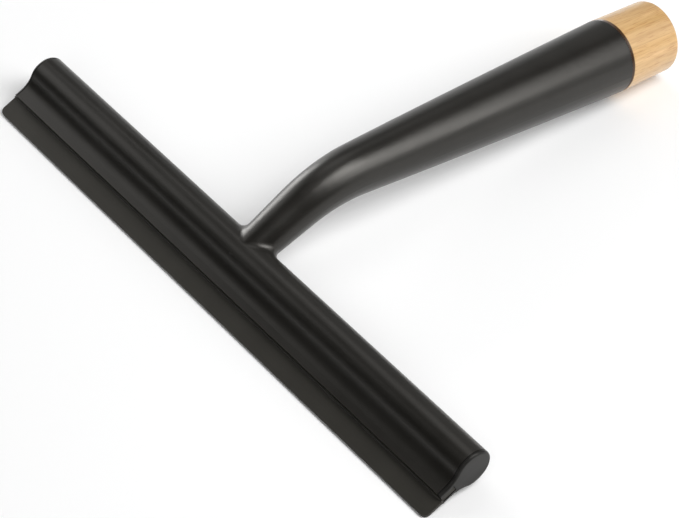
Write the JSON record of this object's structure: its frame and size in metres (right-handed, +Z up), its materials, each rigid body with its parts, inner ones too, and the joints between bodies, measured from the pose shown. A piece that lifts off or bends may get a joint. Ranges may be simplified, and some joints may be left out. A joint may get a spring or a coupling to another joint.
{
  "type": "window cleaning squeegee",
  "caption": "Hand squeegee with a long hollow head, a silicone wiping blade in a slot, end caps, and a bent tapered handle with a bamboo end.",
  "frame": {"origin": "under the centre of the bounding box, on the surface that the tool lies on", "axes": "+X along the head towards the right-hand end cap, +Y from the head towards the bamboo end of the handle, +Z up"},
  "size_m": [0.2512, 0.2304, 0.0359],
  "materials": {
    "head_black": "satin black, fine soft-touch texture",
    "handle_black": "satin black, fine soft-touch texture",
    "cap_black": "matte black moulding",
    "tube_metal": "drawn, satin",
    "silicone": "matte warm black silicone",
    "plug_nylon": "natural moulded nylon",
    "seal_rubber": "matte",
    "gasket_brown": "matte dark brown",
    "bamboo": "turned bamboo, satin lacquer",
    "screw_steel": "zinc plated"
  },
  "bodies": {
    "tool": {"head_shell": "head_black", "handle_shell": "handle_black", "spine_tube": "tube_metal", "grip_plug": "plug_nylon", "plug_seal": "seal_rubber", "seam_gasket": "gasket_brown", "bamboo_cap": "bamboo", "cap_screw": "screw_steel", "screw_washer": "screw_steel"},
    "blade_strip": {"blade_bead": "silicone"},
    "wiping_lip": {"blade_lip": "silicone"},
    "right_cap": {"end_cap_right": "cap_black"},
    "left_cap": {"end_cap_left": "cap_black"}
  },
  "joints": [
    {"name": "blade_slide", "type": "slide", "parent": "tool", "child": "blade_strip", "axis": [1, 0, 0], "range_m": [0, 0.255]},
    {"name": "blade_flex", "type": "hinge", "parent": "blade_strip", "child": "wiping_lip", "pos_m": [0, -0.10847, 0.00346], "axis": [1, 0, 0], "range_deg": [-40, 40], "stiffness_Nm_per_rad": 0.12},
    {"name": "right_cap_pull", "type": "slide", "parent": "blade_strip", "child": "right_cap", "axis": [1, 0, 0], "range_m": [0, 0.02]},
    {"name": "left_cap_pull", "type": "slide", "parent": "tool", "child": "left_cap", "axis": [-1, 0, 0], "range_m": [0, 0.02]}
  ]
}
